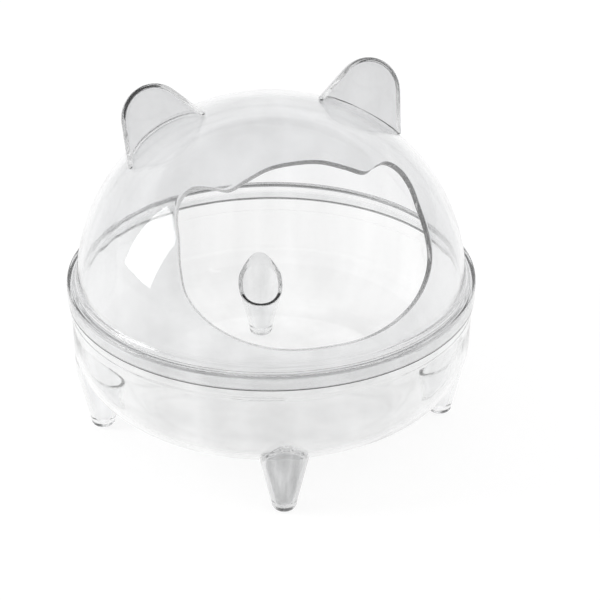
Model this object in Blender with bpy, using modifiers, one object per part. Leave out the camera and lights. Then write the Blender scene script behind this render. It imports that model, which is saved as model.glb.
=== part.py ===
"""Bear-eared sand bath for small pets: a clear bowl on four hollow feet, under a clear dome lid.

Metres, +Z up. The origin is on the ground under the bowl's axis, and the lid's entrance faces -Y.
The lid rests on the bowl's lip and lifts straight off it. The cupped ears are bonded on the dome and
the hollow feet under the bowl.
"""

import math

import bmesh
import bpy
from mathutils import Vector

# Overall sizes.
RIM_RADIUS = 0.0675
LID_TOP = 0.115
WALL = 0.0015
GAP = 0.0003

# Lid: a near-hemisphere that rises from a flange with a short skirt.
DOME_RADIUS = 0.0643
DOME_BASE = 0.052
DOME_FULLNESS = 2.1
DOME_STEPS = 14
DOME_WALL = 0.0018
COLLAR_STEP = 0.0006
COLLAR_TOP = 0.0571
FLANGE_TOP = 0.0553
SKIRT_BOTTOM = 0.0501
SKIRT_WALL = 0.0014
FLANGE_BEVEL = 0.0004

# Bowl: a flat floor, a wide elliptical corner, a slightly flared wall, a shoulder and a recessed lip.
FLOOR_BOTTOM = 0.014
FLOOR_RADIUS = 0.042
CORNER_TOP = 0.034
CORNER_RADIUS = 0.066
SHOULDER_RADIUS = 0.0667
CORNER_STEPS = 9
LIP_WALL = 0.0015
INNER_STEP = 0.0455

# Feet: hollow cones with a rounded end and a small flat pad.
FOOT_CIRCLE = 0.057
FOOT_TURN = math.radians(-12)
FOOT_NAMES = ("foot_front", "foot_right", "foot_back", "foot_left")
FOOT_TOP = 0.0300
FOOT_SHOULDER = 0.0220
FOOT_TOP_RADIUS = 0.0086
FOOT_END_RADIUS = 0.0041
FOOT_ROUND = 0.0026
FOOT_FLOOR = 0.0022

# Ears: cups open to the front, with a rounded triangular rim whose plane leans back from the dome.
EAR_CENTRE = (0.0359, 0.1125)
EAR_RADIUS = 0.0109
EAR_SLOPE = math.radians(131)
EAR_FLARE = math.radians(-3.5)
EAR_OUTER_SIDE = 0.026
EAR_INNER_SIDE = 0.026
EAR_WALL = 0.0014
EAR_ROOT = (0.0320, 0.1000)
EAR_DEPTH = 0.016
EAR_LEAN = math.radians(17)
EAR_PLANE = (0.0035, 0.0940)

# Entrance: the outline of a bear's head, seen square to a plane that leans back with the dome.
ENTRANCE_TILT = math.radians(36)
ENTRANCE_DEPTH = (0.025, 0.080)
ENTRANCE_HALF = (
    (0.0000, 0.0300),
    (0.0086, 0.0293),
    (0.0168, 0.0263),
    (0.0226, 0.0242),
    (0.0272, 0.0263),
    (0.0318, 0.0276),
    (0.0362, 0.0250),
    (0.0388, 0.0195),
    (0.0397, 0.0125),
    (0.0409, 0.0030),
    (0.0404, -0.0060),
    (0.0355, -0.0152),
    (0.0270, -0.0226),
    (0.0150, -0.0278),
    (0.0000, -0.0293),
)

ROUND_STEPS = 64
SMALL_STEPS = 24
EAR_RIM_STEPS = 12
EAR_CUP_STEPS = 8
FOOT_ROUND_STEPS = 4
OUTLINE_STEPS = 3
MERGE = 0.00005
SMOOTH_ANGLE = math.radians(35)
CLEAR_COLOUR = (0.90, 0.93, 0.92, 0.30)
CLEAR_ROUGHNESS = 0.06
CLEAR_IOR = 1.59


def clear_scene():
    for old in list(bpy.data.objects):
        bpy.data.objects.remove(old)


def new_collection(name):
    group = bpy.data.collections.new(name)
    bpy.context.scene.collection.children.link(group)
    return group


def clear_plastic(name):
    """Clear, hard, glossy plastic such as moulded polystyrene."""
    made = bpy.data.materials.new(name)
    made.use_nodes = True
    shader = made.node_tree.nodes["Principled BSDF"]
    shader.inputs["Base Color"].default_value = CLEAR_COLOUR
    shader.inputs["Alpha"].default_value = CLEAR_COLOUR[3]
    shader.inputs["Roughness"].default_value = CLEAR_ROUGHNESS
    shader.inputs["Metallic"].default_value = 0.0
    shader.inputs["IOR"].default_value = CLEAR_IOR
    return made


def new_object(name, data, group):
    made = bpy.data.objects.new(name, data)
    group.objects.link(made)
    return made


def turned(name, profile, steps, group):
    """A solid turned round Z from an (r, z) profile that starts and ends on the axis."""
    mesh = bpy.data.meshes.new(name)
    points = [(r, 0.0, z) for r, z in profile]
    mesh.from_pydata(points, [(i, i + 1) for i in range(len(points) - 1)], [])
    made = new_object(name, mesh, group)
    screw = made.modifiers.new("turn", "SCREW")
    screw.axis = "Z"
    screw.angle = math.tau
    screw.steps = steps
    screw.render_steps = steps
    screw.use_merge_vertices = True
    screw.merge_threshold = MERGE
    screw.use_smooth_shade = True
    return made


def cut(target, cutter, name):
    boolean = target.modifiers.new(name, "BOOLEAN")
    boolean.operation = "DIFFERENCE"
    boolean.solver = "EXACT"
    boolean.object = cutter


def as_cutter(made):
    made.hide_render = True
    made.display_type = "WIRE"
    return made


def ellipse(centre, radii, first, last, steps):
    """(r, z) points on an ellipse, from one angle to another, both ends included."""
    angles = (first + (last - first) * i / steps for i in range(steps + 1))
    return [
        (centre[0] + radii[0] * math.cos(a), centre[1] + radii[1] * math.sin(a))
        for a in angles
    ]


def dome_curve(radius, top):
    """The dome's section from its top down to its base, slightly fuller than an ellipse."""
    power = 2 / DOME_FULLNESS
    points = [(0.0, top)]
    for i in range(1, DOME_STEPS + 1):
        angle = math.pi / 2 * (1 - i / DOME_STEPS)
        r = radius * math.cos(angle) ** power
        z = DOME_BASE + (top - DOME_BASE) * math.sin(angle) ** power
        points.append((r, z))
    return points


def lid_profile():
    """Down the dome's outside, round the collar, flange and skirt, and up the inside."""
    collar = DOME_RADIUS + COLLAR_STEP
    under = FLANGE_TOP - WALL
    skirt_inner = RIM_RADIUS - SKIRT_WALL
    outside = [p for p in dome_curve(DOME_RADIUS, LID_TOP) if p[1] > COLLAR_TOP]
    flange = [
        (DOME_RADIUS, COLLAR_TOP),
        (collar, COLLAR_TOP - COLLAR_STEP),
        (collar, FLANGE_TOP),
        (RIM_RADIUS - FLANGE_BEVEL, FLANGE_TOP),
        (RIM_RADIUS, FLANGE_TOP - FLANGE_BEVEL),
        (RIM_RADIUS, SKIRT_BOTTOM),
        (skirt_inner, SKIRT_BOTTOM),
        (skirt_inner, under),
        (DOME_RADIUS - DOME_WALL, under),
    ]
    inside = [p for p in dome_curve(DOME_RADIUS - DOME_WALL, LID_TOP - DOME_WALL) if p[1] > under]
    return outside + flange + inside[::-1]


def bowl_corner(offset):
    """The bowl's corner from the wall down to the floor, grown by offset."""
    radii = (CORNER_RADIUS - FLOOR_RADIUS + offset, CORNER_TOP - FLOOR_BOTTOM + offset)
    return ellipse((FLOOR_RADIUS, CORNER_TOP), radii, 0.0, -math.pi / 2, CORNER_STEPS)


def bowl_profile():
    """Out over the floor, up the inside, over the lip and shoulder, and down the outside."""
    lip_outer = RIM_RADIUS - SKIRT_WALL - GAP
    lip_inner = lip_outer - LIP_WALL
    lip_top = FLANGE_TOP - WALL - GAP
    shoulder = SKIRT_BOTTOM - GAP
    inside = [(0.0, FLOOR_BOTTOM + WALL)] + bowl_corner(-WALL)[::-1]
    lip = [
        (SHOULDER_RADIUS - WALL, INNER_STEP),
        (lip_inner, INNER_STEP + WALL),
        (lip_inner, lip_top),
        (lip_outer, lip_top),
        (lip_outer, shoulder),
        (SHOULDER_RADIUS, shoulder),
    ]
    outside = bowl_corner(0.0) + [(0.0, FLOOR_BOTTOM)]
    return inside + lip + outside


def foot_profile():
    """Up the inside of a foot, over its top edge, and down its outside to the flat pad."""
    inner_end = FOOT_END_RADIUS - WALL
    inside = [
        (0.0, FOOT_FLOOR),
        (inner_end / 2, FOOT_FLOOR),
        (inner_end, FOOT_FLOOR + WALL),
        (FOOT_TOP_RADIUS - WALL, FOOT_SHOULDER),
        (FOOT_TOP_RADIUS - WALL, FOOT_TOP),
    ]
    top = [(FOOT_TOP_RADIUS, FOOT_TOP), (FOOT_TOP_RADIUS, FOOT_SHOULDER)]
    end = ellipse(
        (FOOT_END_RADIUS - FOOT_ROUND, FOOT_ROUND),
        (FOOT_ROUND, FOOT_ROUND),
        0.0,
        -math.pi / 2,
        FOOT_ROUND_STEPS,
    )
    return inside + top + end + [(0.0, 0.0)]


def make_foot(name, angle, bowl_space, group):
    foot = turned(name, foot_profile(), SMALL_STEPS, group)
    foot.location = (FOOT_CIRCLE * math.sin(angle), -FOOT_CIRCLE * math.cos(angle), 0.0)
    cut(foot, bowl_space, "fit under bowl")
    return foot


def direction(angle):
    return Vector((math.cos(angle), math.sin(angle)))


def ear_rim():
    """The rim seen from the front, as (x, z): a steep outer side, a round top and a sloping side."""
    top = Vector(EAR_CENTRE)
    arc = ellipse(EAR_CENTRE, (EAR_RADIUS,) * 2, EAR_FLARE, EAR_SLOPE, EAR_RIM_STEPS)
    outer_side = top + EAR_RADIUS * direction(EAR_FLARE)
    inner_side = top + EAR_RADIUS * direction(EAR_SLOPE)
    outer_end = outer_side + EAR_OUTER_SIDE * direction(EAR_FLARE - math.pi / 2)
    inner_end = inner_side + EAR_INNER_SIDE * direction(EAR_SLOPE + math.pi / 2)
    return [tuple(outer_end)] + arc + [tuple(inner_end)]


def on_ear_plane(x, z):
    """The point of the leaning rim plane above (x, z)."""
    start, height = EAR_PLANE
    return Vector((x, start + (z - height) * math.tan(EAR_LEAN), z))


def ear_surface(side):
    """A mesh of the cup's outside: the rim drawn in towards the root while it runs back."""
    root = on_ear_plane(*EAR_ROOT)
    back = Vector((0.0, math.cos(EAR_LEAN), -math.sin(EAR_LEAN))) * EAR_DEPTH
    rim = [on_ear_plane(x, z) for x, z in ear_rim()]
    shape = bmesh.new()
    rings = []
    for j in range(EAR_CUP_STEPS):
        angle = math.pi / 2 * j / EAR_CUP_STEPS
        ring = [root + (p - root) * math.cos(angle) + back * math.sin(angle) for p in rim]
        rings.append([shape.verts.new((side * x, y, z)) for x, y, z in ring])
    pole = root + back
    tip = shape.verts.new((side * pole.x, pole.y, pole.z))
    for ring, following in zip(rings, rings[1:]):
        for i in range(len(ring) - 1):
            shape.faces.new((ring[i], ring[i + 1], following[i + 1], following[i]))
    last = rings[-1]
    for i in range(len(last) - 1):
        shape.faces.new((last[i], last[i + 1], tip))
    if side > 0:
        bmesh.ops.reverse_faces(shape, faces=shape.faces)
    mesh = bpy.data.meshes.new("ear_cup")
    shape.to_mesh(mesh)
    shape.free()
    return mesh


def make_ear(name, side, dome_space, group):
    """A cupped ear of even wall, cut to stand on the dome."""
    ear = new_object(name, ear_surface(side), group)
    shell = ear.modifiers.new("wall", "SOLIDIFY")
    shell.thickness = EAR_WALL
    shell.offset = -1.0
    shell.use_even_offset = True
    cut(ear, dome_space, "fit on dome")
    return ear


def entrance_cutter(group):
    """A block with the entrance's outline, spreading out from the dome's centre through its front."""
    near, far = ENTRANCE_DEPTH
    curve = bpy.data.curves.new("entrance_outline", "CURVE")
    curve.dimensions = "2D"
    curve.fill_mode = "BOTH"
    curve.extrude = (far - near) / 2
    spline = curve.splines.new("BEZIER")
    left = [(-x, y) for x, y in ENTRANCE_HALF[-2:0:-1]]
    outline = list(ENTRANCE_HALF) + left
    spline.bezier_points.add(len(outline) - 1)
    spline.use_cyclic_u = True
    spline.resolution_u = OUTLINE_STEPS
    for point, (x, y) in zip(spline.bezier_points, outline):
        point.co = (x, y, 0.0)
        point.handle_left_type = "AUTO"
        point.handle_right_type = "AUTO"
    guide = new_object("entrance_guide", curve, group)
    middle = (near + far) / 2
    guide.rotation_euler.x = math.pi / 2 - ENTRANCE_TILT
    guide.location = (
        0.0,
        -middle * math.cos(ENTRANCE_TILT),
        DOME_BASE + middle * math.sin(ENTRANCE_TILT),
    )
    block = curve_to_mesh(guide, "entrance_cutter", group)
    for vertex in block.data.vertices:
        x, y, z = vertex.co
        spread = (middle + z) / math.sqrt(DOME_RADIUS**2 - x * x - y * y)
        vertex.co = (x * spread, y * spread, z)
    return block


def curve_to_mesh(guide, name, group):
    bpy.context.view_layer.update()
    found = guide.evaluated_get(bpy.context.evaluated_depsgraph_get())
    mesh = bpy.data.meshes.new_from_object(found)
    shape = bmesh.new()
    shape.from_mesh(mesh)
    bmesh.ops.remove_doubles(shape, verts=shape.verts, dist=MERGE)
    bmesh.ops.recalc_face_normals(shape, faces=shape.faces)
    shape.to_mesh(mesh)
    shape.free()
    made = new_object(name, mesh, group)
    made.matrix_world = guide.matrix_world
    bpy.data.objects.remove(guide)
    return made


def dome_envelope(group):
    """The space the dome takes up, with the gap that the ears keep to it."""
    outside = dome_curve(DOME_RADIUS + GAP, LID_TOP + GAP)
    return as_cutter(turned("dome_space", outside + [(0.0, DOME_BASE)], ROUND_STEPS, group))


def bowl_envelope(group):
    """The space the bowl takes up, with the gap that the feet keep to it."""
    top = [(0.0, SKIRT_BOTTOM), (SHOULDER_RADIUS + GAP, SKIRT_BOTTOM)]
    outside = top + bowl_corner(GAP) + [(0.0, FLOOR_BOTTOM - GAP)]
    return as_cutter(turned("bowl_space", outside, ROUND_STEPS, group))


def body_empty(name, group, parts):
    """An empty on the lift axis that carries the parts of one moving body."""
    holder = new_object(name, None, group)
    for part in parts:
        part.parent = holder


def smooth(part):
    """Shade round surfaces smooth and keep real edges sharp."""
    part.data.shade_smooth()
    part.data.set_sharp_from_angle(angle=SMOOTH_ANGLE)


def main():
    clear_scene()
    parts = new_collection("small_pet_sand_bath")
    tools = new_collection("cutters")
    bowl_space = bowl_envelope(tools)
    dome_space = dome_envelope(tools)
    entrance = as_cutter(entrance_cutter(tools))

    bowl = turned("bowl", bowl_profile(), ROUND_STEPS, parts)
    feet = [
        make_foot(name, FOOT_TURN + i * math.pi / 2, bowl_space, parts)
        for i, name in enumerate(FOOT_NAMES)
    ]
    lid = turned("lid_dome", lid_profile(), ROUND_STEPS, parts)
    cut(lid, entrance, "entrance")
    ears = [
        make_ear("ear_right", 1, dome_space, parts),
        make_ear("ear_left", -1, dome_space, parts),
    ]

    for part in [bowl, lid, *feet, *ears]:
        part.data.materials.append(clear_plastic(part.name + "_clear_plastic"))
        smooth(part)
    body_empty("base_body", parts, [bowl, *feet])
    body_empty("lid_body", parts, [lid, *ears])


main()
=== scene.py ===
"""Looks of a clear, bear-eared sand bath for small pets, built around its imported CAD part.

Metres, +Z up, in the part's own frame. Every CAD node is replaced by a finer mesh of the same shape and
size: the CAD solids are coarse, and clear plastic shows every facet through its front and back walls.
"""

import math

import bmesh
import bpy
from mathutils import Matrix, Vector


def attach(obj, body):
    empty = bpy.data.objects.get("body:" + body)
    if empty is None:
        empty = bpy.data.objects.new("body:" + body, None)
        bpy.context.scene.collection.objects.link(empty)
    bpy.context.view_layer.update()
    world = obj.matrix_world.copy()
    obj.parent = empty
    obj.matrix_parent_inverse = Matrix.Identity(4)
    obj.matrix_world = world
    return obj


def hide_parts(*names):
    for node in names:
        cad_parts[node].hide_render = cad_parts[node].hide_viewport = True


# The wall and gap that most pieces share.
WALL = 0.0015
GAP = 0.0003

# Lid.
DOME_FULLNESS = 2.1
DOME_RADIUS = 0.0643
DOME_BASE = 0.052
DOME_WALL = 0.0018
COLLAR_STEP = 0.0006
COLLAR_TOP = 0.0571
COLLAR_SINK = 0.0002
FLANGE_TOP = 0.0553
SKIRT_BOTTOM = 0.0501
SKIRT_WALL = 0.0014
RIM_RADIUS = 0.0675
LID_TOP = 0.115
OUTER_START = 0.0583
INNER_START = 0.0556

# Entrance: half of the outline of a bear's head, on a plane square to the way it faces.
ENTRANCE_TILT = math.radians(36)
ENTRANCE_ROUND = 0.00045
ENTRANCE_HALF = (
    (0.0000, 0.0300),
    (0.0086, 0.0293),
    (0.0168, 0.0263),
    (0.0226, 0.0242),
    (0.0272, 0.0263),
    (0.0318, 0.0276),
    (0.0362, 0.0250),
    (0.0388, 0.0195),
    (0.0397, 0.0125),
    (0.0409, 0.0030),
    (0.0404, -0.0060),
    (0.0355, -0.0152),
    (0.0270, -0.0226),
    (0.0150, -0.0278),
    (0.0000, -0.0293),
)

# Bowl.
FLOOR_BOTTOM = 0.014
FLOOR_RADIUS = 0.042
CORNER_TOP = 0.034
CORNER_RADIUS = 0.066
SHOULDER_RADIUS = 0.0667
LIP_WALL = 0.0015
INNER_STEP = 0.0455
INNER_STEP_RISE = 0.0008

# Feet.
FOOT_CIRCLE = 0.057
FOOT_TURN = math.radians(-12)
FOOT_NAMES = ("foot_front", "foot_right", "foot_back", "foot_left")
FOOT_TOP = 0.0300
FOOT_SHOULDER = 0.0220
FOOT_TOP_RADIUS = 0.0086
FOOT_END_RADIUS = 0.0041
FOOT_ROUND = 0.0026
FOOT_FLOOR = 0.0022
FOOT_SOFT = 0.00035
# The dish inside a foot's end: shares of the inner radius, and of the wall as height.
FOOT_DISH = ((0.5, 0.0), (0.8, 0.12), (0.95, 0.45))

# Ears.
EAR_CENTRE = (0.0359, 0.1125)
EAR_RADIUS = 0.0109
EAR_SLOPE = math.radians(131)
EAR_FLARE = math.radians(-3.5)
EAR_SIDE = 0.026
EAR_WALL = 0.0014
EAR_SOFT = 0.0004
EAR_ROOT = (0.0320, 0.1000)
EAR_DEPTH = 0.016
EAR_LEAN = math.radians(17)
EAR_PLANE = (0.0035, 0.0940)

# Dark beads that paint the shadow lines where feet and ears meet the bowl and dome: how far a foot's
# reaches round either way, and their half width and half height.
FOOT_BEAD_REACH = math.radians(75)
BEAD_HALF = (0.0005, 0.00014)
# The dark ring under the lid's skirt, a painted shadow line in the gap: the radius of its middle, its
# half width and its half height.
RIM_SHADOW_RING = (0.0668, 0.0006, 0.00013)

# How finely each shape is divided.
AROUND = 192
OVER_DOME = 44
END_CROWDING = 0.6
FLAT_STEPS = 3
FLAT_RUN = 0.0012
FLOOR_STEPS = 8
ROUND_STEPS = 5
ROUND_SHARE = 0.48
OUTLINE_STEPS = 24
FOOT_AROUND = 64
FOOT_STEPS = 16
FOOT_END_STEPS = 8
EAR_CURVE_STEPS = 40
EAR_SIDE_STEPS = 30
EAR_ALONG = 72
EAR_BACK = 28
BEAD_ALONG = 96
BEAD_SIDES = 10
SOLVE_STEPS = 40
BEYOND_DOME = 1.3
SMOOTH_ANGLE = math.radians(38)
TINY = 0.00001
SHORTEST = 1e-12

# Camera: how it stands to the object, whose entrance faces a little away from it.
CAMERA_HEIGHT = math.radians(28.56)
CAMERA_TURN = math.radians(-15.8)
CAMERA_DISTANCE = 1.0016
CAMERA_AIM = 0.05
CAMERA_SIDE = 0.009426
CAMERA_UP = -0.004066
CAMERA_LENS = 181.5
SENSOR = 36.0

# Clear plastic.
REFRACTION = 1.52
BODY_COLOUR = (0.82, 0.825, 0.83, 1)
BODY_DENSITY = 0.5
FLOW_STRETCH = (1.0, 1.0, 0.12)
STREAK_DETAIL = 3.0
STREAK_BAND = (0.35, 0.65)
SCUFF_SCALE = 420.0
SCUFF_DETAIL = 6.0
SCUFF_BAND = (0.4, 0.75)
RIPPLE_SCALE = 45.0
RIPPLE_DETAIL = 2.0
RIPPLE_STRENGTH = 0.25
RIPPLE_HEIGHT = 0.0006

# Studio. The room's ceiling is grey, and the room dims towards one side.
FLOOR_REACH = 3.0
FLOOR_PAINT = 0.2
FLOOR_ROUGHNESS = 0.9
FLOOR_GLOW = 0.86
CEILING_EDGE = (0.76, 0.77)
CEILING_GREY = 0.52
BRIGHT_SIDE = (-0.5, 0.86, 0.0)
DIM_BAND = (-1.0, 0.5)
DIM_SHARE = 0.6
LAMP_AIM = (0, 0, 0.06)
LAMPS = (
    ("key", (-1.08, 0.20, 0.50), (0.5, 0.75), 7),
    ("fill", (0.9, -0.7, 0.9), (1.3, 1.3), 5),
)
# Light is guided a long way inside clear walls, so it has to bounce often.
MAX_BOUNCES = 128
CLEAR_BOUNCES = 120

# The colour sockets of a Mix node share their names with others, so they go by number.
MIX_A, MIX_B, MIX_RESULT = 6, 7, 2


# ---------------------------------------------------------------- shapes


def mix(a, b, t):
    return a + (b - a) * t


def last_where(low, high, holds):
    """The furthest value from low towards high for which a condition still holds."""
    for _ in range(SOLVE_STEPS):
        middle = (low + high) / 2
        if holds(middle):
            low = middle
        else:
            high = middle
    return low


def make_piece(name, vertices, *groups):
    """A mesh object, wound outward and smooth but for real edges, with a material slot for each group."""
    mesh = bpy.data.meshes.new(name)
    shape = bmesh.new()
    made = [shape.verts.new(v) for v in vertices]
    for n, faces in enumerate(groups):
        for face in faces:
            shape.faces.new([made[i] for i in face]).material_index = n
    bmesh.ops.recalc_face_normals(shape, faces=shape.faces)
    if shape.calc_volume(signed=True) < 0:
        bmesh.ops.reverse_faces(shape, faces=shape.faces)
    shape.to_mesh(mesh)
    shape.free()
    mesh.shade_smooth()
    mesh.set_sharp_from_angle(angle=SMOOTH_ANGLE)
    piece = bpy.data.objects.new(name, mesh)
    bpy.context.scene.collection.objects.link(piece)
    return piece


def ring_faces(start, count, steps):
    """Faces between `steps` rings of `count` points each, numbered one ring after another."""
    faces = []
    for j in range(steps - 1):
        for i in range(count):
            k = (i + 1) % count
            a = start + j * count
            b = a + count
            faces.append((a + i, a + k, b + k, b + i))
    return faces


def rounded(corners):
    """A smooth (r, z) path from (r, z, radius) corners: each corner is rounded by its radius."""
    path = []
    last = len(corners) - 1
    for n, (r, z, radius) in enumerate(corners):
        here = Vector((r, z))
        if n in (0, last) or radius == 0:
            path.append(here)
            continue
        before = Vector(corners[n - 1][:2]) - here
        after = Vector(corners[n + 1][:2]) - here
        reach = min(radius, before.length * ROUND_SHARE, after.length * ROUND_SHARE)
        first = here + before.normalized() * reach
        final = here + after.normalized() * reach
        for i in range(ROUND_STEPS + 1):
            t = i / ROUND_STEPS
            path.append(mix(mix(first, here, t), mix(here, final, t), t))
    return subdivide(path)


def subdivide(path):
    """Adds points along long straight runs, so that shading doesn't bleed from the rounded corners."""
    fine = [path[0]]
    for a, b in zip(path, path[1:]):
        count = max(1, min(FLAT_STEPS, math.ceil((b - a).length / FLAT_RUN)))
        for i in range(1, count + 1):
            fine.append(mix(a, b, i / count))
    return fine


def arc(centre, radii, first, last, steps):
    """Points along part of an ellipse, from its first angle to its last."""
    angles = (mix(first, last, i / steps) for i in range(steps + 1))
    return [
        Vector((centre[0] + radii[0] * math.cos(a), centre[1] + radii[1] * math.sin(a)))
        for a in angles
    ]


def spaced(line, count):
    """Points spaced evenly along an open line, both ends included."""
    lengths = [0.0]
    for a, b in zip(line, line[1:]):
        lengths.append(lengths[-1] + (b - a).length)
    points = []
    n = 0
    for i in range(count + 1):
        wanted = lengths[-1] * i / count
        while n < len(line) - 2 and lengths[n + 1] < wanted:
            n += 1
        share = (wanted - lengths[n]) / max(lengths[n + 1] - lengths[n], SHORTEST)
        points.append(mix(line[n], line[n + 1], share))
    return points


def turned(name, path, steps, seat_height):
    """A closed body turned round Z from an (r, z) path that starts and ends on the axis.

    The faces at its seat, the height of its upper edge, are a group of their own.
    """
    vertices = [Vector((0, 0, path[0][1]))]
    rings = path[1:-1]
    for r, z in rings:
        for i in range(steps):
            a = math.tau * i / steps
            vertices.append(Vector((r * math.cos(a), r * math.sin(a), z)))
    end = len(vertices)
    vertices.append(Vector((0, 0, path[-1][1])))
    faces = []
    seat_faces = []
    for face in ring_faces(1, steps, len(rings)):
        on_seat = min(vertices[n].z for n in face) > seat_height - TINY
        (seat_faces if on_seat else faces).append(face)
    last = end - steps
    for i in range(steps):
        k = (i + 1) % steps
        faces.append((0, 1 + k, 1 + i))
        faces.append((end, last + i, last + k))
    return make_piece(name, vertices, faces, seat_faces)


# ---------------------------------------------------------------- lid


def dome_scale(direction, radius, height):
    """How far along a direction from the dome's centre its surface lies."""
    flat = math.hypot(direction.x, direction.y) / radius
    up = abs(direction.z) / height
    return (flat**DOME_FULLNESS + up**DOME_FULLNESS) ** (-1 / DOME_FULLNESS)


def on_dome(direction, radius, height):
    return Vector((0, 0, DOME_BASE)) + direction * dome_scale(direction, radius, height)


def dome_radius_at(z, radius, height):
    """The dome's radius at a height above the ground."""
    share = (z - DOME_BASE) / height
    return radius * (1 - share**DOME_FULLNESS) ** (1 / DOME_FULLNESS)


def inside_dome(point):
    """Below 1 inside the dome's outer surface and the gap kept to it, above 1 outside them."""
    flat = math.hypot(point.x, point.y) / (DOME_RADIUS + GAP)
    up = max(point.z - DOME_BASE, 0.0) / (LID_TOP + GAP - DOME_BASE)
    return flat**DOME_FULLNESS + up**DOME_FULLNESS


def entrance_outline():
    """The outline as a fine closed loop of evenly spaced (x, y) points that starts at its top."""
    left = [(-x, y) for x, y in ENTRANCE_HALF[-2:0:-1]]
    knots = [Vector(p) for p in list(ENTRANCE_HALF) + left]
    count = len(knots)
    fine = []
    for n in range(count):
        before, a, b, after = (knots[(n + k) % count] for k in (-1, 0, 1, 2))
        slope_a = handle(before, a, b)
        slope_b = handle(a, b, after)
        reach = (b - a).length / 3
        controls = (a, a + slope_a * reach, b - slope_b * reach, b)
        for i in range(OUTLINE_STEPS):
            fine.append(bezier(controls, i / OUTLINE_STEPS))
    return spaced(fine + fine[:1], AROUND)[:-1]


def handle(before, here, after):
    """The direction of the outline at a knot, from the two knots beside it."""
    back = here - before
    on = after - here
    return (back.normalized() + on.normalized()).normalized()


def bezier(controls, t):
    a, b, c, d = controls
    s = 1 - t
    return a * s**3 + b * (3 * s * s * t) + c * (3 * s * t * t) + d * t**3


def through_dome(x, y, radius, height):
    """Where the entrance's outline meets a dome surface, straight out along the way it faces."""
    out = Vector((0, -math.cos(ENTRANCE_TILT), math.sin(ENTRANCE_TILT)))
    up = Vector((0, math.sin(ENTRANCE_TILT), math.cos(ENTRANCE_TILT)))
    start = Vector((x, 0, 0)) + up * y

    def inside(reach):
        return dome_scale(start + out * reach, radius, height) > 1

    return start + out * last_where(0.0, radius * BEYOND_DOME, inside)


def over_dome(first, last, radius, height):
    """Points on the dome from one direction to another, a little closer together near both ends."""
    points = []
    angle = first.angle(last)
    for i in range(OVER_DOME + 1):
        t = i / OVER_DOME
        t = mix(t, t * t * (3 - 2 * t), END_CROWDING)
        a = math.sin((1 - t) * angle) / math.sin(angle)
        b = math.sin(t * angle) / math.sin(angle)
        points.append(on_dome((first * a + last * b).normalized(), radius, height))
    return points


def soft_corner(before, corner, after):
    """A rounded corner between two points beside it."""
    return [
        mix(mix(before, corner, i / ROUND_STEPS), mix(corner, after, i / ROUND_STEPS), i / ROUND_STEPS)
        for i in range(ROUND_STEPS + 1)
    ]


def rim_path():
    """From the dome's outside, round the collar, flange and skirt, to the dome's inside."""
    collar = DOME_RADIUS + COLLAR_STEP
    under = FLANGE_TOP - WALL
    skirt_inner = RIM_RADIUS - SKIRT_WALL
    outer = dome_radius_at(OUTER_START, DOME_RADIUS, LID_TOP - DOME_BASE)
    inner = dome_radius_at(INNER_START, DOME_RADIUS - DOME_WALL, LID_TOP - DOME_WALL - DOME_BASE)
    return rounded(
        [
            (outer, OUTER_START, 0),
            (DOME_RADIUS - COLLAR_SINK, COLLAR_TOP + COLLAR_SINK, 0.0006),
            (collar, COLLAR_TOP - COLLAR_STEP, 0.0004),
            (collar, FLANGE_TOP, 0.0003),
            (RIM_RADIUS, FLANGE_TOP, 0.0006),
            (RIM_RADIUS, SKIRT_BOTTOM, 0.0004),
            (skirt_inner, SKIRT_BOTTOM, 0.0004),
            (skirt_inner, under, 0.0004),
            (DOME_RADIUS - DOME_WALL, under, 0.0005),
            (inner, INNER_START, 0),
        ]
    )


def lid_section(k, outline, rim):
    """One closed section of the lid, from the entrance's edge over the dome and back inside."""
    outer_size = (DOME_RADIUS, LID_TOP - DOME_BASE)
    inner_size = (DOME_RADIUS - DOME_WALL, LID_TOP - DOME_WALL - DOME_BASE)
    turn = math.tau * k / AROUND
    facing = Vector((math.sin(turn), math.cos(turn), 0))
    lift = Vector((0, 0, 1))
    centre = Vector((0, 0, DOME_BASE))
    around_rim = [facing * r + lift * z for r, z in rim]
    x, y = outline[k]
    edge_out = through_dome(x, y, *outer_size)
    edge_in = on_dome(edge_out.normalized(), *inner_size) - centre
    foot_out = (around_rim[0] - centre).normalized()
    foot_in = (around_rim[-1] - centre).normalized()

    def away(edge, foot):
        """The edge, and the direction of a point a rounding's width away from it on the dome."""
        first = edge.normalized()
        step = (foot - first * foot.dot(first)).normalized()
        beside = (first + step * (ENTRANCE_ROUND / edge.length)).normalized()
        return edge + centre, beside

    corner_out, start_out = away(edge_out, foot_out)
    corner_in, start_in = away(edge_in, foot_in)
    through = (corner_in - corner_out).normalized() * ENTRANCE_ROUND
    outside = over_dome(start_out, foot_out, *outer_size)
    inside = over_dome(start_in, foot_in, *inner_size)[::-1]
    edge = soft_corner(inside[-1], corner_in, corner_in - through)
    edge += soft_corner(corner_out + through, corner_out, outside[0])
    return outside + around_rim[1:-1] + inside + edge[1:-1]


def make_lid():
    """The dome in one with its rim. The entrance's edge and the seat under the flange are groups."""
    outline = entrance_outline()
    rim = rim_path()
    sections = [lid_section(k, outline, rim) for k in range(AROUND)]
    length = len(sections[0])
    vertices = [p for section in sections for p in section]
    faces = []
    edge_faces = []
    seat_faces = []
    first_edge = length - 2 * ROUND_STEPS - 1
    for i in range(length):
        j = (i + 1) % length
        group = faces if i < first_edge else edge_faces
        if max(abs(vertices[n].z - FLANGE_TOP + WALL) for n in (i, j)) < TINY:
            group = seat_faces
        for k in range(AROUND):
            a = k * length
            b = (k + 1) % AROUND * length
            group.append((a + i, a + j, b + j, b + i))
    return make_piece("lid_dome_clear", vertices, faces, edge_faces, seat_faces)


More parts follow.
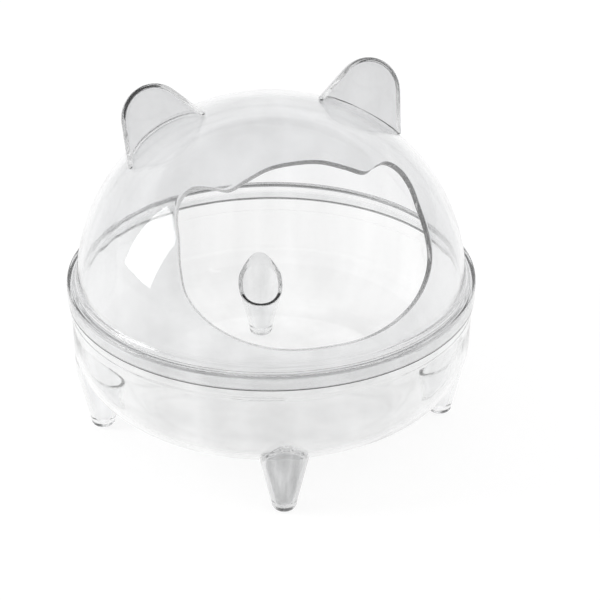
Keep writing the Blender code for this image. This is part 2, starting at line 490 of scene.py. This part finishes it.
def make_shadow_ring():
    """The thin dark ring under the lid's skirt, in the gap to the bowl's ledge: a painted shadow line."""
    middle, half_width, half_height = RIM_SHADOW_RING
    vertices = []
    for k in range(AROUND):
        a = math.tau * k / AROUND
        for i in range(BEAD_SIDES):
            b = math.tau * i / BEAD_SIDES
            r = middle + half_width * math.cos(b)
            z = SKIRT_BOTTOM - GAP / 2 + half_height * math.sin(b)
            vertices.append(Vector((r * math.cos(a), r * math.sin(a), z)))
    faces = []
    for k in range(AROUND):
        for i in range(BEAD_SIDES):
            j = (i + 1) % BEAD_SIDES
            a = k * BEAD_SIDES
            b = (k + 1) % AROUND * BEAD_SIDES
            faces.append((a + i, a + j, b + j, b + i))
    return make_piece("lid_shadow_ring", vertices, faces)


# ---------------------------------------------------------------- bowl


def bowl_corner(offset):
    """The wide corner from the wall down to the floor, on a surface offset from the outside."""
    radii = (CORNER_RADIUS - FLOOR_RADIUS + offset, CORNER_TOP - FLOOR_BOTTOM + offset)
    return arc((FLOOR_RADIUS, CORNER_TOP), radii, 0.0, -math.pi / 2, OUTLINE_STEPS)


def make_bowl():
    lip_outer = RIM_RADIUS - SKIRT_WALL - GAP
    lip_inner = lip_outer - LIP_WALL
    lip_top = FLANGE_TOP - WALL - GAP
    shoulder = SKIRT_BOTTOM - GAP
    inner_corner = bowl_corner(-WALL)
    outer_corner = bowl_corner(0.0)
    lip = rounded(
        [
            (*inner_corner[0], 0),
            (SHOULDER_RADIUS - WALL, INNER_STEP, 0.0005),
            (lip_inner, INNER_STEP + INNER_STEP_RISE, 0.0005),
            (lip_inner, lip_top, 0.0005),
            (lip_outer, lip_top, 0.0005),
            (lip_outer, shoulder, 0.0002),
            (SHOULDER_RADIUS, shoulder, 0.0005),
            (*outer_corner[0], 0),
        ]
    )
    floor = [mix(0.0, FLOOR_RADIUS, i / FLOOR_STEPS) for i in range(FLOOR_STEPS)]
    inside = [Vector((r, FLOOR_BOTTOM + WALL)) for r in floor] + inner_corner[::-1]
    outside = outer_corner + [Vector((r, FLOOR_BOTTOM)) for r in floor[::-1]]
    return turned("bowl_clear", inside + lip[1:-1] + outside, AROUND, lip_top)


# ---------------------------------------------------------------- feet


def bowl_underside(distance):
    """Height of the bowl's outside at a distance from its axis, less the gap kept to it."""
    if distance <= FLOOR_RADIUS:
        return FLOOR_BOTTOM - GAP
    across = CORNER_RADIUS - FLOOR_RADIUS + GAP
    down = CORNER_TOP - FLOOR_BOTTOM + GAP
    share = min((distance - FLOOR_RADIUS) / across, 1.0)
    return CORNER_TOP - down * math.sqrt(1 - share * share)


def foot_radius(z, inset=0.0):
    """The foot's outer radius, less an inset, at a height above its rounded end."""
    share = min(max((z - FOOT_ROUND) / (FOOT_SHOULDER - FOOT_ROUND), 0.0), 1.0)
    return mix(FOOT_END_RADIUS, FOOT_TOP_RADIUS, share) - inset


def foot_top(axis, facing, inset):
    """How high a foot's wall reaches in one direction: up to the bowl, or to the foot's top."""

    def below_bowl(z):
        point = axis + facing * foot_radius(z, inset)
        return z < bowl_underside(math.hypot(point.x, point.y))

    return last_where(FOOT_FLOOR + WALL, FOOT_TOP, below_bowl)


def foot_section(axis, facing):
    """From the inside of the foot's end, up its inner wall, over its top and down to the pad."""
    inner_end = FOOT_END_RADIUS - WALL
    inner_top = foot_top(axis, facing, WALL)
    outer_top = foot_top(axis, facing, 0.0)
    inside = [(inner_end * across, FOOT_FLOOR + WALL * up) for across, up in FOOT_DISH]
    for i in range(FOOT_STEPS + 1):
        z = mix(FOOT_FLOOR + WALL, inner_top - FOOT_SOFT, i / FOOT_STEPS)
        inside.append((foot_radius(z, WALL), z))
    edge_in = Vector((foot_radius(inner_top, WALL), inner_top))
    edge_out = Vector((foot_radius(outer_top), outer_top))
    step = (edge_out - edge_in).normalized() * FOOT_SOFT
    last_in = Vector(inside[-1])
    first_out = Vector((foot_radius(outer_top - FOOT_SOFT), outer_top - FOOT_SOFT))
    top = soft_corner(last_in, edge_in, edge_in + step)[1:]
    top += soft_corner(edge_out - step, edge_out, first_out)
    outside = []
    for i in range(1, FOOT_STEPS + 1):
        z = mix(outer_top - FOOT_SOFT, FOOT_ROUND, i / FOOT_STEPS)
        outside.append((foot_radius(z), z))
    middle = (FOOT_END_RADIUS - FOOT_ROUND, FOOT_ROUND)
    end = arc(middle, (FOOT_ROUND, FOOT_ROUND), 0.0, -math.pi / 2, FOOT_END_STEPS)[1:]
    return [axis + facing * r + Vector((0, 0, z)) for r, z in inside + top + outside + end]


def make_foot(name, turn):
    """A hollow foot whose upper edge follows the bowl. That edge is a group of its own."""
    axis = Vector((FOOT_CIRCLE * math.sin(turn), -FOOT_CIRCLE * math.cos(turn), 0))
    sections = []
    for i in range(FOOT_AROUND):
        a = math.tau * i / FOOT_AROUND
        sections.append(foot_section(axis, Vector((math.cos(a), math.sin(a), 0))))
    length = len(sections[0])
    vertices = [section[j] for j in range(length) for section in sections]
    inner_rows = len(FOOT_DISH) + FOOT_STEPS + 1
    lip_rows = 2 * ROUND_STEPS + 1
    lip_start = (inner_rows - 1) * FOOT_AROUND
    outer_start = (inner_rows + lip_rows - 1) * FOOT_AROUND
    faces = ring_faces(0, FOOT_AROUND, inner_rows)
    faces += ring_faces(outer_start, FOOT_AROUND, length - inner_rows - lip_rows + 1)
    seat_faces = ring_faces(lip_start, FOOT_AROUND, lip_rows + 1)
    inner_pole = len(vertices)
    vertices.append(axis + Vector((0, 0, FOOT_FLOOR)))
    vertices.append(axis.copy())
    last = (length - 1) * FOOT_AROUND
    for i in range(FOOT_AROUND):
        k = (i + 1) % FOOT_AROUND
        faces.append((inner_pole, k, i))
        faces.append((inner_pole + 1, last + i, last + k))
    return make_piece(name + "_clear", vertices, faces, seat_faces)


# ---------------------------------------------------------------- ears


def ear_outline(inset):
    """The rim seen from the front as (x, z), drawn in by an inset, with its sides run down long."""
    centre = Vector(EAR_CENTRE)
    radius = EAR_RADIUS - inset
    curve = arc(centre, (radius, radius), EAR_FLARE, EAR_SLOPE, EAR_CURVE_STEPS)
    angles = (EAR_FLARE - math.pi / 2, EAR_SLOPE + math.pi / 2)
    down_outer, down_inner = (Vector((math.cos(a), math.sin(a))) for a in angles)
    count = EAR_SIDE_STEPS
    outer = [curve[0] + down_outer * EAR_SIDE * (1 - i / count) for i in range(count)]
    inner = [curve[-1] + down_inner * EAR_SIDE * i / count for i in range(1, count + 1)]
    return outer + curve + inner


def ear_point(p):
    """The point of the leaning rim plane above (x, z)."""
    start, height = EAR_PLANE
    return Vector((p[0], start + (p[1] - height) * math.tan(EAR_LEAN), p[1]))


def ear_ring(rim, angle, depth):
    """The rim drawn towards the ear's root and backward, as far round the cup as the angle says."""
    root = ear_point(EAR_ROOT)
    back = Vector((0, math.cos(EAR_LEAN), -math.sin(EAR_LEAN))) * depth
    return [root + (p - root) * math.cos(angle) + back * math.sin(angle) for p in rim]


def above_dome(ring):
    """The stretch of a ring that stands clear of the dome, evenly divided, or None if none does."""
    sides = [inside_dome(p) for p in ring]
    highest = max(range(len(ring)), key=lambda i: sides[i])
    if sides[highest] <= 1.0:
        return None
    first = highest
    while sides[first] > 1.0 and first > 0:
        first -= 1
    last = highest
    while sides[last] > 1.0 and last < len(ring) - 1:
        last += 1
    start = crossing(ring[first], ring[first + 1])
    end = crossing(ring[last], ring[last - 1])
    return spaced([start] + ring[first + 1 : last] + [end], EAR_ALONG)


def crossing(low, high):
    """Where a line from inside the dome comes out of it."""
    return last_where(low, high, lambda point: inside_dome(point) <= 1.0)


def ear_sheet(inset):
    """Rings of one cup surface from its rim back to where it sinks into the dome, and that point."""
    rim = [ear_point(p) for p in ear_outline(inset)]
    depth = EAR_DEPTH - inset

    def stands_clear(angle):
        return above_dome(ear_ring(rim, angle, depth)) is not None

    deepest = last_where(0.0, math.pi / 2, stands_clear)
    rings = []
    for j in range(EAR_BACK):
        t = math.sin(math.pi / 2 * j / EAR_BACK)
        rings.append(above_dome(ear_ring(rim, deepest * t, depth)))
    final = ear_ring(rim, deepest, depth)
    tip = max(final, key=inside_dome)
    return rings, tip


def make_ear(name, side):
    """A cup with an even wall, a rounded rim and a lower edge that sits on the dome.

    The middle of the rim and the lower edge are a group of their own.
    """
    outer, outer_tip = ear_sheet(0.0)
    inner, inner_tip = ear_sheet(EAR_WALL)
    vertices = []

    def add(points):
        """Adds points on this ear's side and returns their numbers."""
        first = len(vertices)
        vertices.extend(Vector((side * p.x, p.y, p.z)) for p in points)
        return list(range(first, first + len(points)))

    front_out = [p + (q - p).normalized() * EAR_SOFT for p, q in zip(outer[0], outer[1])]
    front_in = [p + (q - p).normalized() * EAR_SOFT for p, q in zip(inner[0], inner[1])]
    outer_rows = [add(front_out)] + [add(ring) for ring in outer[1:]]
    inner_rows = [add(front_in)] + [add(ring) for ring in inner[1:]]
    rim_rows = []
    steps = ROUND_STEPS
    for i in range(1, 2 * steps + 1):
        row = []
        for a, p, q, b in zip(front_out, outer[0], inner[0], front_in):
            step = (q - p).normalized() * EAR_SOFT
            if i <= steps:
                t = i / (steps + 1)
                row.append(mix(mix(a, p, t), mix(p, p + step, t), t))
            else:
                t = (i - steps) / (steps + 1)
                row.append(mix(mix(q - step, q, t), mix(q, b, t), t))
        rim_rows.append(add(row))
    tips = add([outer_tip, inner_tip])
    rows = outer_rows[::-1] + rim_rows + inner_rows
    faces = []
    edge_faces = []
    for n, (a, b) in enumerate(zip(rows, rows[1:])):
        group = edge_faces if EAR_BACK + 1 <= n < EAR_BACK + len(rim_rows) - 2 else faces
        for i in range(EAR_ALONG):
            group.append((a[i], a[i + 1], b[i + 1], b[i]))
    for i in range(EAR_ALONG):
        faces.append((rows[0][i], tips[0], rows[0][i + 1]))
        faces.append((rows[-1][i + 1], tips[1], rows[-1][i]))
    for end in (0, EAR_ALONG):
        ladder = list(zip([row[end] for row in outer_rows], [row[end] for row in inner_rows]))
        for (a, b), (c, d) in zip(ladder, ladder[1:]):
            edge_faces.append((a, b, d, c))
        a, b = ladder[-1]
        edge_faces.append((a, b, tips[1], tips[0]))
        rim_end = [row[end] for row in rim_rows]
        faces.append([outer_rows[0][end]] + rim_end + [inner_rows[0][end]])
    return make_piece(name + "_clear", vertices, faces, edge_faces)


def bead(name, path, centre):
    """A thin flat bead along a path in the gap outside a surface that curves round a centre."""
    last = len(path) - 1
    vertices = []
    for n, point in enumerate(path):
        along = path[min(n + 1, last)] - path[max(n - 1, 0)]
        out = (point - centre).normalized()
        across = along.cross(out).normalized()
        for i in range(BEAD_SIDES):
            a = math.tau * i / BEAD_SIDES
            step = across * math.cos(a) * BEAD_HALF[0] + out * math.sin(a) * BEAD_HALF[1]
            vertices.append(point - out * GAP / 2 + step)
    faces = ring_faces(0, BEAD_SIDES, last + 1)
    faces.append(range(BEAD_SIDES))
    faces.append(range(BEAD_SIDES * last, BEAD_SIDES * (last + 1)))
    return make_piece(name + "_bead", vertices, faces)


def ear_bead(name, side):
    """A dark bead between an ear's lower edge and the dome: a painted shadow line."""
    outer, outer_tip = ear_sheet(0.0)
    inner, inner_tip = ear_sheet(EAR_WALL)
    middle = [mix(a[0], b[0], 0.5) for a, b in zip(outer, inner)]
    middle.append(mix(outer_tip, inner_tip, 0.5))
    middle += [mix(a[-1], b[-1], 0.5) for a, b in zip(outer, inner)][::-1]
    path = spaced([Vector((side * p.x, p.y, p.z)) for p in middle], BEAD_ALONG)
    return bead(name, path, Vector((0, 0, DOME_BASE)))


def foot_bead(name, turn):
    """A dark bead between the inner half of a foot's upper edge and the bowl: a painted shadow line."""
    out = Vector((math.sin(turn), -math.cos(turn), 0))
    side = Vector((-out.y, out.x, 0))
    axis = out * FOOT_CIRCLE
    path = []
    for i in range(BEAD_ALONG + 1):
        a = mix(-FOOT_BEAD_REACH, FOOT_BEAD_REACH, i / BEAD_ALONG)
        facing = side * math.sin(a) - out * math.cos(a)
        ends = []
        for inset in (0.0, WALL):
            top = foot_top(axis, facing, inset)
            ends.append(axis + facing * foot_radius(top, inset) + Vector((0, 0, top)))
        path.append(mix(*ends, 0.5))
    return bead(name, path, out * FLOOR_RADIUS + Vector((0, 0, CORNER_TOP)))


# ---------------------------------------------------------------- materials


def set_band(node, low, high, side="From"):
    """Sets the lowest and highest value that a Map Range node takes in, or gives out."""
    node.inputs[side + " Min"].default_value = low
    node.inputs[side + " Max"].default_value = high


def add_noise(nodes, scale, detail):
    noise = nodes.new("ShaderNodeTexNoise")
    noise.inputs["Scale"].default_value = scale
    noise.inputs["Detail"].default_value = detail
    return noise


def clear_plastic(name, tint, gloss_range=(0.012, 0.09), clear=1.0, streak=(90.0, 0.95), painted_shade=None):
    """Clear moulded polystyrene: flow streaks, faint ripples, scuffs and a slight body colour.

    A streak is its noise's scale and how much of the tint it keeps. A painted shade is a direction,
    the distances either way along it between which shade is painted in as grey, and the share it keeps.
    """
    made = bpy.data.materials.new(name)
    made.use_nodes = True
    tree = made.node_tree
    nodes = tree.nodes
    link = tree.links.new
    shader = nodes["Principled BSDF"]
    shader.inputs["Transmission Weight"].default_value = clear
    shader.inputs["IOR"].default_value = REFRACTION
    where = nodes.new("ShaderNodeTexCoord")
    stretch = nodes.new("ShaderNodeMapping")
    stretch.inputs["Scale"].default_value = FLOW_STRETCH
    link(where.outputs["Object"], stretch.inputs["Vector"])

    streaks = add_noise(nodes, streak[0], STREAK_DETAIL)
    link(stretch.outputs["Vector"], streaks.inputs["Vector"])
    colours = nodes.new("ShaderNodeValToRGB")
    greyer, clearer = colours.color_ramp.elements
    greyer.position, clearer.position = STREAK_BAND
    greyer.color = (*(c * streak[1] for c in tint), 1)
    clearer.color = (*tint, 1)
    link(streaks.outputs["Fac"], colours.inputs["Fac"])
    if painted_shade is None:
        link(colours.outputs["Color"], shader.inputs["Base Color"])
    else:
        # Painted shade: the plastic greys between two distances either way along a direction.
        direction, first, last, grey = painted_shade
        along = nodes.new("ShaderNodeVectorMath")
        along.operation = "DOT_PRODUCT"
        along.inputs[1].default_value = direction
        link(where.outputs["Object"], along.inputs[0])
        share = nodes.new("ShaderNodeMapRange")
        set_band(share, first, last)
        size = nodes.new("ShaderNodeMath")
        size.operation = "ABSOLUTE"
        link(along.outputs["Value"], size.inputs[0])
        link(size.outputs["Value"], share.inputs["Value"])
        blend = nodes.new("ShaderNodeMix")
        blend.data_type = "RGBA"
        blend.blend_type = "MULTIPLY"
        link(share.outputs["Result"], blend.inputs["Factor"])
        link(colours.outputs["Color"], blend.inputs[MIX_A])
        blend.inputs[MIX_B].default_value = (grey, grey, grey, 1)
        link(blend.outputs[MIX_RESULT], shader.inputs["Base Color"])

    scuffs = add_noise(nodes, SCUFF_SCALE, SCUFF_DETAIL)
    link(where.outputs["Object"], scuffs.inputs["Vector"])
    gloss = nodes.new("ShaderNodeMapRange")
    set_band(gloss, *SCUFF_BAND)
    set_band(gloss, *gloss_range, side="To")
    link(scuffs.outputs["Fac"], gloss.inputs["Value"])
    link(gloss.outputs["Result"], shader.inputs["Roughness"])

    ripple = add_noise(nodes, RIPPLE_SCALE, RIPPLE_DETAIL)
    link(stretch.outputs["Vector"], ripple.inputs["Vector"])
    bump = nodes.new("ShaderNodeBump")
    bump.inputs["Strength"].default_value = RIPPLE_STRENGTH
    bump.inputs["Distance"].default_value = RIPPLE_HEIGHT
    link(ripple.outputs["Fac"], bump.inputs["Height"])
    link(bump.outputs["Normal"], shader.inputs["Normal"])

    body = nodes.new("ShaderNodeVolumeAbsorption")
    body.inputs["Color"].default_value = BODY_COLOUR
    body.inputs["Density"].default_value = BODY_DENSITY
    link(body.outputs["Volume"], nodes["Material Output"].inputs["Volume"])
    return made


def finish_piece(piece, node, body, slot, *materials):
    """Gives a piece its materials and body, and lets it stand for its CAD node. The slot is not used."""
    for material in materials:
        piece.data.materials.append(material)
    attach(piece, body)
    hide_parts(node)


def finish_bead(piece, body):
    """Gives a bead, which stands for no CAD node, its material and body."""
    piece.data.materials.append(painted_shadow_beads)
    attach(piece, body)


# ---------------------------------------------------------------- studio


def make_floor():
    """A plain pale floor."""
    mesh = bpy.data.meshes.new("floor")
    reach = FLOOR_REACH
    corners = [(-reach, -reach, 0), (reach, -reach, 0), (reach, reach, 0), (-reach, reach, 0)]
    mesh.from_pydata(corners, [], [(0, 1, 2, 3)])
    floor = bpy.data.objects.new("floor", mesh)
    bpy.context.scene.collection.objects.link(floor)
    paint = bpy.data.materials.new("pale_floor")
    paint.use_nodes = True
    shader = paint.node_tree.nodes["Principled BSDF"]
    shader.inputs["Base Color"].default_value = (FLOOR_PAINT, FLOOR_PAINT, FLOOR_PAINT, 1)
    shader.inputs["Roughness"].default_value = FLOOR_ROUGHNESS
    shader.inputs["Emission Color"].default_value = (1, 1, 1, 1)
    shader.inputs["Emission Strength"].default_value = FLOOR_GLOW
    mesh.materials.append(paint)


def make_world():
    """A white room that darkens towards its ceiling, and is plain white where the camera looks at it."""
    world = bpy.data.worlds.new("studio")
    bpy.context.scene.world = world
    world.use_nodes = True
    tree = world.node_tree
    nodes = tree.nodes
    link = tree.links.new
    back = nodes["Background"]
    where = nodes.new("ShaderNodeTexCoord")
    split = nodes.new("ShaderNodeSeparateXYZ")
    link(where.outputs["Generated"], split.inputs["Vector"])
    height = nodes.new("ShaderNodeMapRange")
    set_band(height, -1.0, 1.0)
    link(split.outputs["Z"], height.inputs["Value"])
    ramp = nodes.new("ShaderNodeValToRGB")
    walls, ceiling = ramp.color_ramp.elements
    walls.position, ceiling.position = CEILING_EDGE
    walls.color = (1, 1, 1, 1)
    ceiling.color = (CEILING_GREY, CEILING_GREY, CEILING_GREY, 1)
    link(height.outputs["Result"], ramp.inputs["Fac"])
    side = nodes.new("ShaderNodeVectorMath")
    side.operation = "DOT_PRODUCT"
    side.inputs[1].default_value = BRIGHT_SIDE
    link(where.outputs["Generated"], side.inputs[0])
    dim = nodes.new("ShaderNodeMapRange")
    set_band(dim, *DIM_BAND)
    set_band(dim, DIM_SHARE, 1.0, side="To")
    link(side.outputs["Value"], dim.inputs["Value"])
    room = nodes.new("ShaderNodeVectorMath")
    room.operation = "SCALE"
    link(ramp.outputs["Color"], room.inputs[0])
    link(dim.outputs["Result"], room.inputs["Scale"])
    seen = nodes.new("ShaderNodeLightPath")
    choose = nodes.new("ShaderNodeMix")
    choose.data_type = "RGBA"
    link(seen.outputs["Is Camera Ray"], choose.inputs["Factor"])
    link(room.outputs["Vector"], choose.inputs[MIX_A])
    choose.inputs[MIX_B].default_value = (1, 1, 1, 1)
    link(choose.outputs[MIX_RESULT], back.inputs["Color"])
    back.inputs["Strength"].default_value = 1.0


def make_lamp(name, place, size, power):
    """A soft lamp that isn't seen itself, either by the camera or through clear plastic."""
    lamp = bpy.data.lights.new(name, "AREA")
    lamp.shape = "RECTANGLE"
    lamp.size, lamp.size_y = size
    lamp.energy = power
    holder = bpy.data.objects.new(name, lamp)
    holder.visible_camera = False
    holder.visible_transmission = False
    holder.location = place
    holder.rotation_mode = "QUATERNION"
    holder.rotation_quaternion = (Vector(LAMP_AIM) - Vector(place)).to_track_quat("-Z", "Y")
    bpy.context.scene.collection.objects.link(holder)


def make_camera():
    turn = Matrix.Rotation(CAMERA_TURN, 3, "Z")
    ahead = Vector((0, math.cos(CAMERA_HEIGHT), -math.sin(CAMERA_HEIGHT)))
    right = Vector((1, 0, 0))
    up = right.cross(ahead)
    place = Vector((0, 0, CAMERA_AIM)) - ahead * CAMERA_DISTANCE
    look = (ahead + right * math.tan(CAMERA_SIDE) + up * math.tan(CAMERA_UP)).normalized()
    data = bpy.data.cameras.new("camera")
    data.lens = CAMERA_LENS
    data.sensor_width = SENSOR
    camera = bpy.data.objects.new("camera", data)
    camera.location = turn @ place
    camera.rotation_mode = "QUATERNION"
    camera.rotation_quaternion = (turn @ look).to_track_quat("-Z", "Y")
    bpy.context.scene.collection.objects.link(camera)
    bpy.context.scene.camera = camera


# ---------------------------------------------------------------- the whole scene

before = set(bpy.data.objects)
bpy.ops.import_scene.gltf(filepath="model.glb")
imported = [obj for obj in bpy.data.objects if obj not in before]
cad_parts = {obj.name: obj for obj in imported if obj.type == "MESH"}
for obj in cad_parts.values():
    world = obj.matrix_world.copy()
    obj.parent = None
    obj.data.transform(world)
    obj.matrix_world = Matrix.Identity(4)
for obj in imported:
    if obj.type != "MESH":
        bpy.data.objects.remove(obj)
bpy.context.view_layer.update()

lid_plastic = clear_plastic("lid_clear_plastic", (0.905, 0.908, 0.913), streak=(70.0, 0.93))
ear_plastic = clear_plastic("ear_clear_plastic", (0.71, 0.713, 0.72))
# The entrance's edge is partly diffuse and has painted shade: it greys towards its top and its +X side.
entrance_shaded_plastic = clear_plastic(
    "entrance_painted_shade_plastic",
    (0.95, 0.953, 0.956),
    gloss_range=(0.03, 0.12),
    clear=0.82,
    painted_shade=((0.6, 0.0, 0.8), 0.056, 0.084, 0.26),
)
seat_plastic = clear_plastic("seat_clear_plastic", (0.97, 0.973, 0.976), gloss_range=(0.03, 0.06))
# Nearly black, half-clear beads and ring in the gaps between pieces: painted shadow lines.
painted_shadow_beads = clear_plastic("painted_shadow_beads", (0.03, 0.03, 0.033), gloss_range=(0.2, 0.35), clear=0.55)
# Painted shade: the bowl greys slightly towards its front and back, beyond the floor's edge.
bowl_shaded_plastic = clear_plastic(
    "bowl_painted_shade_plastic",
    (0.985, 0.987, 0.987),
    streak=(70.0, 0.92),
    painted_shade=((-0.1, -0.99, 0.0), 0.044, 0.066, 0.92),
)
# Painted shade: the front foot is a little greyer than the other three.
front_foot_shaded_plastic = clear_plastic("front_foot_painted_shade_plastic", (0.89, 0.893, 0.896), streak=(260.0, 0.70))
plain_foot_plastic = clear_plastic("foot_plain_plastic", (0.98, 0.983, 0.986), streak=(260.0, 0.90))

finish_piece(make_bowl(), "bowl", "base", "bowl_clear", bowl_shaded_plastic, seat_plastic)
for n, foot_name in enumerate(FOOT_NAMES):
    foot_turn = FOOT_TURN + n * math.pi / 2
    foot = make_foot(foot_name, foot_turn)
    foot_body = front_foot_shaded_plastic if n == 0 else plain_foot_plastic
    finish_piece(foot, foot_name, "base", "bowl_clear", foot_body, seat_plastic)
    finish_bead(foot_bead(foot_name, foot_turn), "base")
finish_piece(make_lid(), "lid_dome", "lid", "lid_clear", lid_plastic, entrance_shaded_plastic, seat_plastic)
finish_bead(make_shadow_ring(), "lid")
for ear_name, ear_side in (("ear_right", 1), ("ear_left", -1)):
    ear = make_ear(ear_name, ear_side)
    finish_piece(ear, ear_name, "lid", "lid_clear", ear_plastic, seat_plastic)
    finish_bead(ear_bead(ear_name, ear_side), "lid")

make_floor()
make_world()
for lamp in LAMPS:
    make_lamp(*lamp)
make_camera()
bpy.context.scene.view_settings.view_transform = "Standard"
bounces = bpy.context.scene.cycles
bounces.max_bounces = MAX_BOUNCES
bounces.glossy_bounces = CLEAR_BOUNCES
bounces.transmission_bounces = CLEAR_BOUNCES
